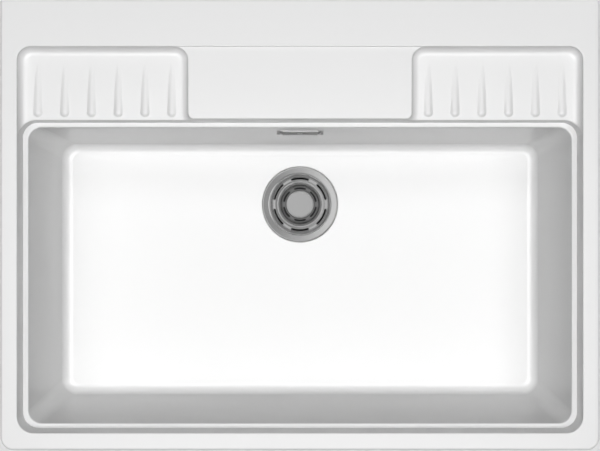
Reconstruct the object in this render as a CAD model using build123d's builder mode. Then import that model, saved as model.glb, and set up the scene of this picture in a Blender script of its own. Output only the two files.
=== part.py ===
"""Kitchen sink with drainboard: a fireclay block with one large bowl, a raised tap ledge
between two draining recesses, a basket strainer waste and an overflow.

Millimetres. +Z is up, +Y points to the wall behind the sink, X runs along the sink.
The origin is the centre of the footprint, on the plane where the sink stands on its cabinet.
"""

from build123d import *
import os
from math import asin, atan2, cos, degrees, radians, sin, tan

# Whole sink
SINK_WIDTH = 800.0
SINK_DEPTH = 600.0
SINK_HEIGHT = 220.0
FRONT_CORNER_RADIUS = 17.5
OUTER_EDGE_RADIUS = 3.5
INNER_EDGE_RADIUS = 1.5
SKIRT_THICKNESS = 14.0

# Opening inside the rim, seen from above
RIM_SIDE = 22.4
RIM_FRONT = 23.4
RIM_REAR = 60.9
RIM_ROOT_DEPTH = 40.0
STEP_FRONT_CORNER_RADIUS = 22.0
RECESS_CORNER_RADIUS = 18.0

# Tap ledge and ledge ring round the bowl
LEDGE_DROP = 3.0
LEDGE_HALF_WIDTH = 149.6
LEDGE_FLARE_RADIUS = 8.0
LEDGE_FLARE_SETBACK = 3.0
RING_DROP = 32.6
RING_REAR_Y = 139.5
RING_CORNER_RADIUS = 20.5
STEP_REAR_DRAFT = 3.5

# Bowl
BOWL_TOP_HALF_WIDTH = 370.4
BOWL_TOP_FRONT_Y = -270.2
BOWL_TOP_REAR_Y = 133.3
BOWL_TOP_CORNER_RADIUS = 18.0
BOWL_DEPTH = 194.0
BOWL_FLOOR_HALF_WIDTH = 355.8
BOWL_FLOOR_FRONT_Y = -255.5
BOWL_FLOOR_REAR_Y = 117.8
BOWL_FLOOR_CORNER_RADIUS = 23.0
BOWL_FLOOR_FILLET = 14.5
BOWL_MOUTH_RADIUS = 2.0
WALL_THICKNESS = 14.0
UNDERSIDE_Z = 10.0
FLOOR_FALL = 2.0
FALL_EDGE_MARGIN = 1.0
FALL_FOOT_MARGIN = 3.0

# Draining recesses
RECESS_REAR_DEPTH = 12.0
RECESS_FRONT_DEPTH = 13.4
RECESS_COVE_RADIUS = 11.0
RECESS_OVERLAP = 4.0
RIB_COUNT = 6
RIB_FIRST_X = 172.5
RIB_PITCH = 36.0
RIB_NOSE_Y = 152.0
RIB_LENGTH = 70.0
RIB_RADIUS = 8.5
RIB_TAIL_RADIUS = 5.9
RIB_SKIRT_RADIUS = 2.5

# Underside
DECK_UNDERSIDE_Z = 195.0
SIDE_CAVITY_TOP_Z = 150.0
BOWL_OUTSIDE_FILLET = 24.0
SERVICE_ARCH_WIDTH = 660.0
SERVICE_ARCH_HEIGHT = 140.0
SERVICE_ARCH_RADIUS = 30.0
TAP_KNOCKOUT_RADIUS = 17.5
TAP_KNOCKOUT_TOP_Z = 211.0
TAP_KNOCKOUT_Y = 206.0

# Waste: a 3 1/2 inch basket strainer
DRAIN_Y = 28.5
WASTE_HOLE_RADIUS = 45.0
WASTE_SEAT_RADIUS = 58.2
WASTE_SEAT_DROP = 3.5
WASTE_HOLE_CHAMFER = 3.0
FLANGE_RADIUS = 57.4
FLANGE_EDGE_DROP = 0.4
FLANGE_CREST_RADIUS = 55.5
FLANGE_CREST = 0.9
FLANGE_FOOT_RADIUS = 46.0
FLANGE_FOOT_DROP = 1.6
CUP_NECK_RADIUS = 42.0
CUP_NECK_DROP = 9.5
CUP_WALL_RADIUS = 41.0
CUP_BOTTOM_Z = -13.0
CUP_SHEET = 1.0
CUP_OUTLET_RADIUS = 16.5
CUP_OUTLET_WIDTH = 8.0
CUP_OUTLET_ARC = 18.0
FLANGE_SEAL_INNER_RADIUS = 48.5
FLANGE_SEAL_OUTER_RADIUS = 55.0
FLANGE_SEAL_INNER_HEIGHT = 1.4
FLANGE_SEAL_OUTER_HEIGHT = 3.0
WASTE_GASKET_RADIUS = 57.0

# Basket of the strainer, with its two rings of slots
BASKET_SHEET = 0.8
BASKET_CENTRE_Z = 12.0
BASKET_LIP = 2.4
SLOT_COUNT = 6
SLOT_FIRST_ANGLE = 30.0
SLOT_ARC = 36.0
SLOT_GAP = 2.8
OUTER_SLOT_RADIUS = 39.3
INNER_SLOT_RADIUS = 24.6
RIDGE_RADIUS = 33.7
RIDGE_Z = 20.2
CHANNEL_DROP = 4.4
CHANNEL_HALF_WIDTH = 1.6
WELL_DROP = 2.5

# Knob, stem and plug of the strainer
KNOB_RADIUS = 19.3
KNOB_TOP_Z = 20.0
KNOB_WALL = 1.4
KNOB_EDGE_RADIUS = 0.8
KNOB_BOSS_RADIUS = 6.5
STUD_HEIGHT = 5.4
STEM_RADIUS = 9.0
STEM_BORE_RADIUS = 6.9
STEM_BORE_TOP_Z = 8.0
STEM_BOTTOM_Z = -6.0
STEM_LIP_RADIUS = 5.6
STEM_LIP = 1.5
COLLET_HEIGHT = 11.8
COLLET_SLIT = 0.8
PLUG_SEAL_RADIUS = 29.0
PLUG_SEAL_WIDTH = 7.5
PLUG_SEAL_LIP = 2.0
DISC_LIFT = 3.5
DISC_THICKNESS = 2.5
HUB_THICKNESS = 2.5

# Plastic waste body, its threaded tail and the screw that clamps the waste
WASTE_BODY_TOP_Z = 7.0
WASTE_BODY_BOTTOM_Z = -41.0
WASTE_BODY_RADIUS = 47.5
WASTE_BODY_WALL = 3.0
POT_FLANGE_RADIUS = 59.0
POT_FLANGE_HEIGHT = 4.5
POT_NECK_RADIUS = 50.0
POT_NECK_DROP = 7.0
POT_SHOULDER_DROP = 10.0
POT_CHAMFER = 4.0
PORT_ROOT = 10.0
TAIL_RADIUS = 23.9
TAIL_BORE_RADIUS = 20.5
TAIL_LENGTH = 30.0
CROSS_THICKNESS = 3.0
CROSS_HEIGHT = 11.0
CLAMP_BOSS_RADIUS = 8.5
CLAMP_BOSS_HEIGHT = 19.0
INSERT_RADIUS = 5.0
INSERT_HEIGHT = 10.0
CLAMP_SCREW_RADIUS = 3.0
CLAMP_HOLE_RADIUS = 3.3
CLAMP_HEAD_RADIUS = 7.0
CLAMP_HEAD_HEIGHT = 2.5
GUIDE_POST_RADIUS = 4.0
GUIDE_POST_TOP_Z = 6.0
GUIDE_POST_CHAMFER = 1.0
HEX_SOCKET_RADIUS = 2.0
HEX_SOCKET_DEPTH = 4.0
RUNNING_GAP = 0.05
JOINT_GAP = 0.2
REST_GAP = 0.3

# Overflow, placed by the middle of its niche on the bowl's rear wall
OVERFLOW_Z = 141.0
NICHE_WIDTH = 65.0
NICHE_HEIGHT = 38.6
NICHE_DEPTH = 1.8
NICHE_CORNER_RADIUS = 3.0
SLOT_RISE = 5.5
SLOT_WIDTH = 56.0
SLOT_HEIGHT = 23.6
SLOT_CORNER_RADIUS = 3.0
COVER_WIDTH = 64.4
COVER_HEIGHT = 38.0
COVER_CORNER_RADIUS = 2.7
COVER_SHEET = 1.2
COVER_HOLE_WIDTH = 56.6
HOOD_WIDTH = 48.6
HOOD_HEIGHT = 26.6
HOOD_PROUD = 2.1
HOOD_BEND_RADIUS = 1.5
COVER_SCREW_RADIUS = 2.5
COVER_SCREW_HOLE_RADIUS = 2.7
COVER_SCREW_LENGTH = 13.0
SCREW_HEAD_RADIUS = 4.0
SCREW_HEAD_FLARE = 1.5
SCREW_CROSS_LENGTH = 4.6
SCREW_CROSS_WIDTH = 0.8

# Plastic parts of the overflow behind the bowl's rear wall
OVERFLOW_GASKET = 2.0
OVERFLOW_FLANGE_WIDTH = 76.0
OVERFLOW_FLANGE_HEIGHT = 42.0
OVERFLOW_FLANGE_THICKNESS = 4.0
OVERFLOW_FLANGE_CORNER = 7.0
OVERFLOW_BODY_WIDTH = 66.0
OVERFLOW_BODY_HEIGHT = 32.0
OVERFLOW_BODY_DEPTH = 33.0
OVERFLOW_BODY_CORNER = 6.0
OVERFLOW_BODY_WALL = 2.5
OVERFLOW_BOSS_RADIUS = 6.0
OVERFLOW_INSERT_RADIUS = 4.0
OVERFLOW_INSERT_HEIGHT = 12.0
SPIGOT_HEIGHT = 28.0
PIPE_RADIUS = 12.5
PIPE_WALL = 1.7
PIPE_Y = 163.0
PIPE_BEND_RADIUS = 30.0
UPPER_PORT_Z = 110.0
LOWER_PORT_Y = 106.5
LOWER_PORT_Z = -25.0
PORT_RADIUS = 15.5
PORT_BORE_RADIUS = 10.5
SOCKET_RADIUS = 12.8
SOCKET_DEPTH = 10.0
SOCKET_END_GAP = 0.5
WASHER_GAP = 0.1
WASHER_HEIGHT = 3.5
UNION_NUT_RADIUS = 18.2
UNION_NUT_HEIGHT = 19.0
UNION_NUT_WALL = 3.5
UNION_NUT_HOLE_GAP = 0.4
UNION_NUT_GRIPS = 10
UNION_NUT_GRIP_RADIUS = 1.8

RIM_Z = SINK_HEIGHT
LEDGE_Z = RIM_Z - LEDGE_DROP
RING_Z = RIM_Z - RING_DROP
FLOOR_Z = RIM_Z - BOWL_DEPTH
DRAIN_Z = FLOOR_Z - FLOOR_FALL
SEAT_Z = DRAIN_Z - WASTE_SEAT_DROP
INNER_HALF_WIDTH = SINK_WIDTH / 2 - RIM_SIDE
INNER_FRONT_Y = -SINK_DEPTH / 2 + RIM_FRONT
INNER_REAR_Y = SINK_DEPTH / 2 - RIM_REAR
BACK_Y = SINK_DEPTH / 2

os.makedirs("parts", exist_ok=True)


def save(builder, name):
    """Label a finished piece and write it under the same name."""
    builder.part.label = name
    export_step(builder.part, f"parts/{name}.step")


def rounded_area(plane, half_width, front_y, rear_y, radius):
    """A rectangle with rounded corners, symmetric about the YZ plane."""
    with BuildSketch(plane) as area:
        with Locations((0, (front_y + rear_y) / 2)):
            RectangleRounded(2 * half_width, rear_y - front_y, radius)
    return area.sketch


def near(value, target, reach=0.05):
    """True when a coordinate lies on a named level."""
    return abs(value - target) < reach


# ---------------------------------------------------------------- sink body

def bowl_section(z, margin=0.0):
    """The bowl's tapered walls cut at a height, moved outwards by a margin."""
    share = (z - FLOOR_Z) / (RING_Z - FLOOR_Z)
    return rounded_area(
        Plane.XY.offset(z),
        BOWL_FLOOR_HALF_WIDTH + share * (BOWL_TOP_HALF_WIDTH - BOWL_FLOOR_HALF_WIDTH) + margin,
        BOWL_FLOOR_FRONT_Y + share * (BOWL_TOP_FRONT_Y - BOWL_FLOOR_FRONT_Y) - margin,
        BOWL_FLOOR_REAR_Y + share * (BOWL_TOP_REAR_Y - BOWL_FLOOR_REAR_Y) + margin,
        BOWL_FLOOR_CORNER_RADIUS
        + share * (BOWL_TOP_CORNER_RADIUS - BOWL_FLOOR_CORNER_RADIUS)
        + margin,
    )


# Cavity of the bowl, from the ledge ring down to the floor.
with BuildPart() as bowl_cavity:
    loft([bowl_section(RING_Z + 0.1), bowl_section(FLOOR_Z)], ruled=True)
    fillet(bowl_cavity.faces().sort_by(Axis.Z)[0].edges(), BOWL_FLOOR_FILLET)

# Gentle fall of the floor towards the waste.
with BuildPart() as floor_fall:
    fall_margin = BOWL_FLOOR_FILLET + FALL_EDGE_MARGIN
    fall_edge = rounded_area(
        Plane.XY.offset(FLOOR_Z),
        BOWL_FLOOR_HALF_WIDTH - fall_margin,
        BOWL_FLOOR_FRONT_Y + fall_margin,
        BOWL_FLOOR_REAR_Y - fall_margin,
        BOWL_FLOOR_CORNER_RADIUS - fall_margin,
    )
    with BuildSketch(Plane.XY.offset(DRAIN_Z)) as fall_foot:
        with Locations((0, DRAIN_Y)):
            Circle(WASTE_SEAT_RADIUS + FALL_FOOT_MARGIN)
    loft([fall_edge, fall_foot.sketch], ruled=True)

# Outside of the bowl, one wall thickness larger all round.
with BuildPart() as bowl_outside:
    outside_top = bowl_section(DECK_UNDERSIDE_Z, WALL_THICKNESS)
    outside_bottom = bowl_section(UNDERSIDE_Z, WALL_THICKNESS)
    loft([outside_top, outside_bottom], ruled=True)
    fillet(bowl_outside.faces().sort_by(Axis.Z)[0].edges(), BOWL_OUTSIDE_FILLET)

# Slope of the recess floor: it falls from the wall towards the bowl.
recess_floor_z = RIM_Z - RECESS_FRONT_DEPTH
recess_run = INNER_REAR_Y - RING_REAR_Y
recess_slope = atan2(RECESS_FRONT_DEPTH - RECESS_REAR_DEPTH, recess_run)
recess_floor = Plane(
    origin=(0, RING_REAR_Y, recess_floor_z),
    x_dir=(1, 0, 0),
    z_dir=(0, -sin(recess_slope), cos(recess_slope)),
)

# Space of the right-hand draining recess, with its cove and the flare at the tap ledge.
with BuildPart() as recess_space:
    flare_y = RING_REAR_Y + LEDGE_FLARE_SETBACK
    flare_start = (LEDGE_HALF_WIDTH, flare_y + LEDGE_FLARE_RADIUS)
    flare_end = (LEDGE_HALF_WIDTH - LEDGE_FLARE_RADIUS, flare_y)
    diagonal = radians(45)
    flare_middle = (
        LEDGE_HALF_WIDTH - LEDGE_FLARE_RADIUS * (1 - cos(diagonal)),
        flare_y + LEDGE_FLARE_RADIUS * (1 - sin(diagonal)),
    )
    open_y = RING_REAR_Y - RING_CORNER_RADIUS - RECESS_OVERLAP
    with BuildSketch(Plane.XY.offset(RING_Z)) as recess_plan:
        with BuildLine():
            Polyline(
                (flare_end[0], open_y),
                (INNER_HALF_WIDTH, open_y),
                (INNER_HALF_WIDTH, INNER_REAR_Y),
                (LEDGE_HALF_WIDTH, INNER_REAR_Y),
                flare_start,
            )
            ThreePointArc(flare_start, flare_middle, flare_end)
            Line(flare_end, (flare_end[0], open_y))
        make_face()
        fillet(recess_plan.vertices().group_by(Axis.Y)[-1], RECESS_CORNER_RADIUS)
    extrude(amount=RING_DROP + RECESS_OVERLAP)
    split(bisect_by=recess_floor, keep=Keep.TOP)
    foot_edges = recess_space.faces().sort_by(Axis.Z)[0].edges()
    cove_edges = foot_edges.filter_by(
        lambda edge: edge.center().Y > open_y + 1
        and (edge.center().Y > flare_y + 0.5 or edge.center().X > LEDGE_HALF_WIDTH)
    )
    fillet(cove_edges, RECESS_COVE_RADIUS)

# Rim: the raised border, whose inner wall is also the front and side of the step.
with BuildPart() as rim:
    rim_bottom_z = RIM_Z - RIM_ROOT_DEPTH
    with BuildSketch(Plane.XY.offset(rim_bottom_z)) as rim_outline:
        Rectangle(SINK_WIDTH, SINK_DEPTH)
        fillet(rim_outline.vertices().group_by(Axis.Y)[0], FRONT_CORNER_RADIUS)
    extrude(amount=RIM_Z - rim_bottom_z)
    overlap = 0.1
    with BuildSketch(Plane.XY.offset(rim_bottom_z)) as rim_opening:
        with Locations((0, (INNER_FRONT_Y + INNER_REAR_Y) / 2)):
            Rectangle(
                2 * (INNER_HALF_WIDTH - overlap), INNER_REAR_Y - INNER_FRONT_Y - 2 * overlap
            )
        fillet(rim_opening.vertices().group_by(Axis.Y)[0], STEP_FRONT_CORNER_RADIUS)
        fillet(rim_opening.vertices().group_by(Axis.Y)[-1], RECESS_CORNER_RADIUS)
    extrude(amount=RIM_Z - rim_bottom_z, mode=Mode.SUBTRACT)
    top_edges = rim.faces().sort_by(Axis.Z)[-1].edges()
    inner_edges = top_edges.filter_by(
        lambda edge: abs(edge.center().X) < INNER_HALF_WIDTH
        and INNER_FRONT_Y - 1 < edge.center().Y < INNER_REAR_Y + 1
    )
    outer_edges = (top_edges - inner_edges).sort_by(Axis.Y)[:-1]
    fillet(inner_edges, INNER_EDGE_RADIUS)
    fillet(outer_edges, OUTER_EDGE_RADIUS)

# One drainer rib: half a slim teardrop that lies in the recess floor.
rib_sink = RIB_TAIL_RADIUS
rib_cone = asin((RIB_RADIUS - RIB_TAIL_RADIUS) / RIB_LENGTH)


def add_rib(x):
    """A teardrop, blunt towards the bowl and pointed towards the wall."""
    nose = recess_floor.from_local_coords(
        Vector(x, (RIB_NOSE_Y - RING_REAR_Y) / cos(recess_slope), 0)
    )
    rib_plane = Plane(
        origin=nose, x_dir=(0, cos(recess_slope), sin(recess_slope)), z_dir=(1, 0, 0)
    )
    shoulder = (RIB_RADIUS * sin(rib_cone), RIB_RADIUS * cos(rib_cone) - rib_sink)
    tail = (
        RIB_LENGTH + RIB_TAIL_RADIUS * sin(rib_cone),
        RIB_TAIL_RADIUS * cos(rib_cone) - rib_sink,
    )
    with BuildSketch(rib_plane) as profile:
        with BuildLine():
            CenterArc((0, -rib_sink), RIB_RADIUS, 90 - degrees(rib_cone), 90 + degrees(rib_cone))
            Polyline(shoulder, tail, (tail[0], -rib_sink), (-RIB_RADIUS, -rib_sink))
        make_face()
    axis_point = rib_plane.from_local_coords(Vector(0, -rib_sink, 0))
    revolve(profile.sketch, axis=Axis(axis_point, rib_plane.x_dir))


def is_rib_foot(edge):
    """True for the edges where a rib meets the recess floor."""
    middle = edge.center()
    reach = RIB_RADIUS + RUNNING_GAP
    in_recess = RIB_NOSE_Y - reach < middle.Y < RIB_NOSE_Y + RIB_LENGTH + RIB_TAIL_RADIUS
    at_floor = near(middle.Z, (RIM_Z - RECESS_REAR_DEPTH + recess_floor_z) / 2, 1)
    rib_offset = (abs(middle.X) - RIB_FIRST_X) % RIB_PITCH
    return in_recess and at_floor and min(rib_offset, RIB_PITCH - rib_offset) < reach


# The rear wall of the bowl leans back; the overflow is set out in its plane.
wall_lean = atan2(BOWL_TOP_REAR_Y - BOWL_FLOOR_REAR_Y, RING_Z - FLOOR_Z)
rear_wall = Plane(
    origin=(0, BOWL_FLOOR_REAR_Y + (OVERFLOW_Z - FLOOR_Z) * tan(wall_lean), OVERFLOW_Z),
    x_dir=(1, 0, 0),
    z_dir=(0, -cos(wall_lean), sin(wall_lean)),
)

# Space under the deck behind the bowl, and the cavity between the bowl and the skirts.
inner_width = SINK_WIDTH - 2 * SKIRT_THICKNESS
inner_depth = SINK_DEPTH - 2 * SKIRT_THICKNESS
below = 1.0
with BuildPart() as underside_space:
    with BuildSketch(Plane.XY.offset(-below)):
        Rectangle(inner_width, inner_depth)
    extrude(amount=SIDE_CAVITY_TOP_Z + below)
    deck_space_depth = inner_depth / 2 - BOWL_TOP_REAR_Y
    with BuildSketch(Plane.XY.offset(-below)):
        with Locations((0, BOWL_TOP_REAR_Y + deck_space_depth / 2)):
            Rectangle(inner_width, deck_space_depth)
    extrude(amount=DECK_UNDERSIDE_Z + below)
    add(bowl_outside.part, mode=Mode.SUBTRACT)

with BuildPart() as sink_body:
    # Block below the rim, with the step down to the ledge ring.
    with BuildSketch() as footprint:
        Rectangle(SINK_WIDTH, SINK_DEPTH)
        fillet(footprint.vertices().group_by(Axis.Y)[0], FRONT_CORNER_RADIUS)
    extrude(amount=LEDGE_Z)
    step_low = rounded_area(
        Plane.XY.offset(RING_Z),
        INNER_HALF_WIDTH,
        INNER_FRONT_Y,
        RING_REAR_Y,
        RING_CORNER_RADIUS,
    )
    step_high = rounded_area(
        Plane.XY.offset(RIM_Z),
        INNER_HALF_WIDTH,
        INNER_FRONT_Y,
        RING_REAR_Y + STEP_REAR_DRAFT,
        RING_CORNER_RADIUS + 2,
    )
    loft([step_low, step_high], ruled=True, mode=Mode.SUBTRACT)
    add(bowl_cavity.part, mode=Mode.SUBTRACT)
    add(floor_fall.part, mode=Mode.SUBTRACT)
    add(recess_space.part, mode=Mode.SUBTRACT)
    add(mirror(recess_space.part, about=Plane.YZ, mode=Mode.PRIVATE), mode=Mode.SUBTRACT)

    # The glaze rounds every edge of the recesses, of the ledges and of the bowl's mouth.
    recess_lips = sink_body.edges().filter_by(
        lambda edge: near(edge.center().Z, recess_floor_z, 1)
        and near(edge.center().Y, RING_REAR_Y + 1.5, 2)
        and abs(edge.center().X) > LEDGE_HALF_WIDTH
    )
    fillet(recess_lips, INNER_EDGE_RADIUS)
    ledge_edges = sink_body.edges().filter_by(
        lambda edge: near(edge.center().Z, LEDGE_Z)
        and abs(edge.center().X) < INNER_HALF_WIDTH + 1
        and INNER_FRONT_Y - 1 < edge.center().Y < INNER_REAR_Y + 1
    )
    fillet(ledge_edges, INNER_EDGE_RADIUS)
    mouth_edges = sink_body.edges().filter_by(
        lambda edge: near(edge.center().Z, RING_Z)
        and abs(edge.center().X) < BOWL_TOP_HALF_WIDTH + 1
        and BOWL_TOP_FRONT_Y - 1 < edge.center().Y < BOWL_TOP_REAR_Y + 1
    )
    fillet(mouth_edges, BOWL_MOUTH_RADIUS)

    # Drainer ribs, each with a small glazed skirt.
    for side in (-1, 1):
        for index in range(RIB_COUNT):
            add_rib(side * (RIB_FIRST_X + index * RIB_PITCH))
    fillet(sink_body.edges().filter_by(is_rib_foot), RIB_SKIRT_RADIUS)
    add(rim.part)

    # Open underside, and the arch in the rear skirt that plumbing is reached through.
    add(underside_space.part, mode=Mode.SUBTRACT)
    with BuildSketch(Plane.XZ.offset(-BACK_Y - below)) as arch:
        with Locations((0, SERVICE_ARCH_HEIGHT / 2 - SERVICE_ARCH_RADIUS)):
            RectangleRounded(
                SERVICE_ARCH_WIDTH,
                SERVICE_ARCH_HEIGHT + 2 * SERVICE_ARCH_RADIUS,
                SERVICE_ARCH_RADIUS,
            )
    extrude(amount=SKIRT_THICKNESS + 2 * below, mode=Mode.SUBTRACT)

    # Blind knock-out for a tap, under the tap ledge.
    with BuildSketch(Plane.XY.offset(DECK_UNDERSIDE_Z - below)):
        with Locations((0, TAP_KNOCKOUT_Y)):
            Circle(TAP_KNOCKOUT_RADIUS)
    extrude(amount=TAP_KNOCKOUT_TOP_Z - DECK_UNDERSIDE_Z + below, mode=Mode.SUBTRACT)

    # Shallow niche and slot of the overflow.
    with BuildSketch(rear_wall.offset(-NICHE_DEPTH)):
        RectangleRounded(NICHE_WIDTH, NICHE_HEIGHT, NICHE_CORNER_RADIUS)
    extrude(amount=2 * NICHE_DEPTH, mode=Mode.SUBTRACT)
    with BuildSketch(rear_wall.offset(-2 * WALL_THICKNESS)):
        with Locations((0, SLOT_RISE)):
            RectangleRounded(SLOT_WIDTH, SLOT_HEIGHT, SLOT_CORNER_RADIUS)
    extrude(amount=2 * WALL_THICKNESS, mode=Mode.SUBTRACT)

    # Seat and hole of the waste.
    with BuildSketch(Plane.XY.offset(SEAT_Z)):
        with Locations((0, DRAIN_Y)):
            Circle(WASTE_SEAT_RADIUS)
    extrude(amount=2 * WASTE_SEAT_DROP, mode=Mode.SUBTRACT)
    with BuildSketch(Plane.XY.offset(UNDERSIDE_Z - below)):
        with Locations((0, DRAIN_Y)):
            Circle(WASTE_HOLE_RADIUS)
    extrude(amount=SEAT_Z, mode=Mode.SUBTRACT)
    hole_edge = sink_body.edges().filter_by(
        lambda edge: near(edge.center().Z, SEAT_Z) and near(edge.radius, WASTE_HOLE_RADIUS)
        if edge.geom_type == GeomType.CIRCLE
        else False
    )
    chamfer(hole_edge, WASTE_HOLE_CHAMFER)

save(sink_body, "sink_body")

# ---------------------------------------------------------------- waste

# Section plane through the waste: X is the radius from the drain's axis, Y is height.
waste_section = Plane(origin=(0, DRAIN_Y, 0), x_dir=(1, 0, 0), z_dir=(0, -1, 0))
drain_axis = Axis((0, DRAIN_Y, 0), (0, 0, 1))


def outline_section(points):
    """A closed section through straight lines, in radius and height."""
    with BuildSketch(waste_section) as section:
        with BuildLine():
            Polyline(*points, close=True)
        make_face()
    return section.sketch


def sheet_section(points, radii, thickness):
    """A section through bent sheet: its upper face, and the same face moved down."""
    with BuildSketch(waste_section) as section:
        with BuildLine():
            FilletPolyline(*points, radius=radii)
            offset(amount=thickness, side=Side.LEFT)
        make_face()
    return section.sketch


def slot_ring(plane, radius, width, arc, count, first_angle):
    """Curved slots spread evenly round the drain's axis."""
    with BuildSketch(plane) as slots:
        with Locations((0, DRAIN_Y)):
            with PolarLocations(0, count, start_angle=first_angle):
                SlotArc(CenterArc((0, 0), radius, -arc / 2, arc), width)
    return slots.sketch


# Steel cup with the flange that shows in the bowl.
with BuildPart() as waste_flange:
    cup_face = [
        (FLANGE_RADIUS, DRAIN_Z - FLANGE_EDGE_DROP),
        (FLANGE_CREST_RADIUS, DRAIN_Z + FLANGE_CREST),
        (FLANGE_FOOT_RADIUS, DRAIN_Z - FLANGE_FOOT_DROP),
        (CUP_NECK_RADIUS, DRAIN_Z - CUP_NECK_DROP),
        (CUP_WALL_RADIUS, CUP_BOTTOM_Z),
        (CLAMP_HOLE_RADIUS, CUP_BOTTOM_Z),
    ]
    cup_bends = [1.6, 5, 8, 5]
    revolve(sheet_section(cup_face, cup_bends, CUP_SHEET), axis=drain_axis)
    outlet = slot_ring(
        Plane.XY.offset(CUP_BOTTOM_Z + below),
        CUP_OUTLET_RADIUS,
        CUP_OUTLET_WIDTH,
        CUP_OUTLET_ARC,
        SLOT_COUNT,
        0.0,
    )
    extrude(outlet, amount=-CUP_SHEET - 2 * below, mode=Mode.SUBTRACT)
save(waste_flange, "waste_flange")

with BuildPart() as flange_seal:
    seal_points = [
        (FLANGE_SEAL_INNER_RADIUS, SEAT_Z),
        (FLANGE_SEAL_OUTER_RADIUS, SEAT_Z),
        (FLANGE_SEAL_OUTER_RADIUS, SEAT_Z + FLANGE_SEAL_OUTER_HEIGHT),
        (FLANGE_SEAL_INNER_RADIUS, SEAT_Z + FLANGE_SEAL_INNER_HEIGHT),
    ]
    revolve(outline_section(seal_points), axis=drain_axis)
save(flange_seal, "flange_seal")

with BuildPart() as waste_gasket:
    with BuildSketch(Plane.XY.offset(WASTE_BODY_TOP_Z)):
        with Locations((0, DRAIN_Y)):
            Circle(WASTE_GASKET_RADIUS)
            Circle(WASTE_HOLE_RADIUS + REST_GAP, mode=Mode.SUBTRACT)
    extrude(amount=UNDERSIDE_Z - WASTE_BODY_TOP_Z)
save(waste_gasket, "waste_gasket")

# Plastic waste body: a pot under the bowl with the overflow port and the threaded tail.
with BuildPart() as waste_body:
    pot_inner = WASTE_BODY_RADIUS - WASTE_BODY_WALL
    tail_end_z = WASTE_BODY_BOTTOM_Z - TAIL_LENGTH
    pot_points = [
        (0, WASTE_BODY_TOP_Z),
        (POT_FLANGE_RADIUS, WASTE_BODY_TOP_Z),
        (POT_FLANGE_RADIUS, WASTE_BODY_TOP_Z - POT_FLANGE_HEIGHT),
        (POT_NECK_RADIUS, WASTE_BODY_TOP_Z - POT_NECK_DROP),
        (WASTE_BODY_RADIUS, WASTE_BODY_TOP_Z - POT_SHOULDER_DROP),
        (WASTE_BODY_RADIUS, WASTE_BODY_BOTTOM_Z + POT_CHAMFER),
        (WASTE_BODY_RADIUS - POT_CHAMFER, WASTE_BODY_BOTTOM_Z),
        (TAIL_RADIUS, WASTE_BODY_BOTTOM_Z),
        (TAIL_RADIUS, tail_end_z),
        (0, tail_end_z),
    ]
    revolve(outline_section(pot_points), axis=drain_axis)
    port_length = LOWER_PORT_Y - DRAIN_Y - pot_inner + PORT_ROOT
    with BuildSketch(Plane.XZ.offset(-LOWER_PORT_Y)):
        with Locations((0, LOWER_PORT_Z)):
            Circle(PORT_RADIUS)
    extrude(amount=port_length)
    pot_cavity = [
        (0, WASTE_BODY_TOP_Z + below),
        (pot_inner, WASTE_BODY_TOP_Z + below),
        (pot_inner, WASTE_BODY_BOTTOM_Z + WASTE_BODY_WALL + POT_CHAMFER / 2),
        (TAIL_BORE_RADIUS, WASTE_BODY_BOTTOM_Z + WASTE_BODY_WALL),
        (TAIL_BORE_RADIUS, tail_end_z - below),
        (0, tail_end_z - below),
    ]
    revolve(outline_section(pot_cavity), axis=drain_axis, mode=Mode.SUBTRACT)
    with BuildSketch(Plane.XZ.offset(-LOWER_PORT_Y - below)):
        with Locations((0, LOWER_PORT_Z)):
            Circle(PORT_BORE_RADIUS)
    extrude(amount=port_length, mode=Mode.SUBTRACT)
    with BuildSketch(Plane.XZ.offset(-LOWER_PORT_Y - below)):
        with Locations((0, LOWER_PORT_Z)):
            Circle(SOCKET_RADIUS)
    extrude(amount=SOCKET_DEPTH + below, mode=Mode.SUBTRACT)
    # Cross with the boss that the clamp screw pulls on.
    cross_span = 2 * TAIL_BORE_RADIUS + CROSS_THICKNESS
    with BuildSketch(Plane.XY.offset(WASTE_BODY_BOTTOM_Z)):
        with Locations((0, DRAIN_Y)):
            Rectangle(cross_span, CROSS_THICKNESS)
            Rectangle(CROSS_THICKNESS, cross_span)
    extrude(amount=CROSS_HEIGHT)
    with BuildSketch(Plane.XY.offset(WASTE_BODY_BOTTOM_Z)):
        with Locations((0, DRAIN_Y)):
            Circle(CLAMP_BOSS_RADIUS)
    extrude(amount=CLAMP_BOSS_HEIGHT)
    with BuildSketch(Plane.XY.offset(WASTE_BODY_BOTTOM_Z - below)):
        with Locations((0, DRAIN_Y)):
            Circle(INSERT_RADIUS)
    extrude(amount=INSERT_HEIGHT + below, mode=Mode.SUBTRACT)
    with BuildSketch(Plane.XY.offset(WASTE_BODY_BOTTOM_Z)):
        with Locations((0, DRAIN_Y)):
            Circle(CLAMP_HOLE_RADIUS)
    extrude(amount=CLAMP_BOSS_HEIGHT + below, mode=Mode.SUBTRACT)
save(waste_body, "waste_body")

with BuildPart() as thread_insert:
    with BuildSketch(Plane.XY.offset(WASTE_BODY_BOTTOM_Z)):
        with Locations((0, DRAIN_Y)):
            Circle(INSERT_RADIUS)
            Circle(CLAMP_SCREW_RADIUS + RUNNING_GAP, mode=Mode.SUBTRACT)
    extrude(amount=INSERT_HEIGHT)
save(thread_insert, "thread_insert")

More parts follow.
